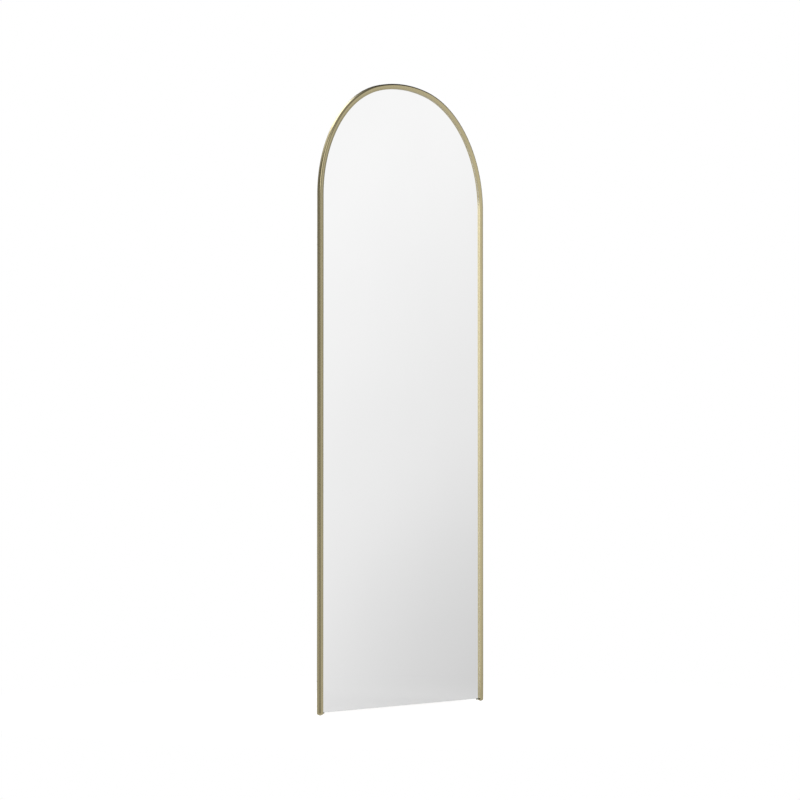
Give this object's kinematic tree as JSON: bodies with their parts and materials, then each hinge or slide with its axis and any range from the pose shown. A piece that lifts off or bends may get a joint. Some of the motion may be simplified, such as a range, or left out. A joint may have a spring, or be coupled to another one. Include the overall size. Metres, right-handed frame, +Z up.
{
  "type": "leaning floor mirror",
  "caption": "Tall arch-topped floor mirror: silvered glass in one thin satin brass-coloured rail, open at the bottom, on two rounded feet.",
  "frame": {"origin": "on the floor, in the middle of the width and of the whole depth", "axes": "+Z up, -Y out of the mirror's face, -X to the left of the mirror as its user sees it"},
  "size_m": [0.813, 0.0216, 1.93],
  "materials": {
    "brass_rail": "satin, brass-coloured",
    "silvered_glass": "polished",
    "hardboard": "smooth hardboard",
    "black_rubber": "matt",
    "foam_tape": "matt white foam",
    "zinc_steel": "zinc-plated",
    "nylon": "matt"
  },
  "bodies": {
    "mirror": {"frame_rail": "brass_rail", "foot_cap_left": "brass_rail", "foot_cap_right": "brass_rail", "foot_glide_left": "nylon", "foot_glide_right": "nylon", "setting_block_left": "black_rubber", "setting_block_right": "black_rubber", "mirror_glass": "silvered_glass", "glazing_gasket": "foam_tape", "backing_board": "hardboard", "bonding_tape": "foam_tape", "panel_clips": "zinc_steel", "clip_screws": "zinc_steel", "lower_brace": "zinc_steel", "upper_brace": "zinc_steel", "brace_screws": "zinc_steel", "hanger_strap_left": "zinc_steel", "hanger_strap_right": "zinc_steel", "hanger_rivets": "zinc_steel", "wall_bumpers": "black_rubber"},
    "ring_left": {"hanger_ring_left": "zinc_steel"},
    "ring_right": {"hanger_ring_right": "zinc_steel"}
  },
  "joints": [
    {"name": "hanger_ring_left_swing", "type": "hinge", "parent": "mirror", "child": "ring_left", "pos_m": [-0.3, 0.00745, 1.4075], "axis": [1, 0, 0], "range_deg": [-6, 178]},
    {"name": "hanger_ring_right_swing", "type": "hinge", "parent": "mirror", "child": "ring_right", "pos_m": [0.3, 0.00745, 1.4075], "axis": [1, 0, 0], "range_deg": [-6, 178]}
  ]
}
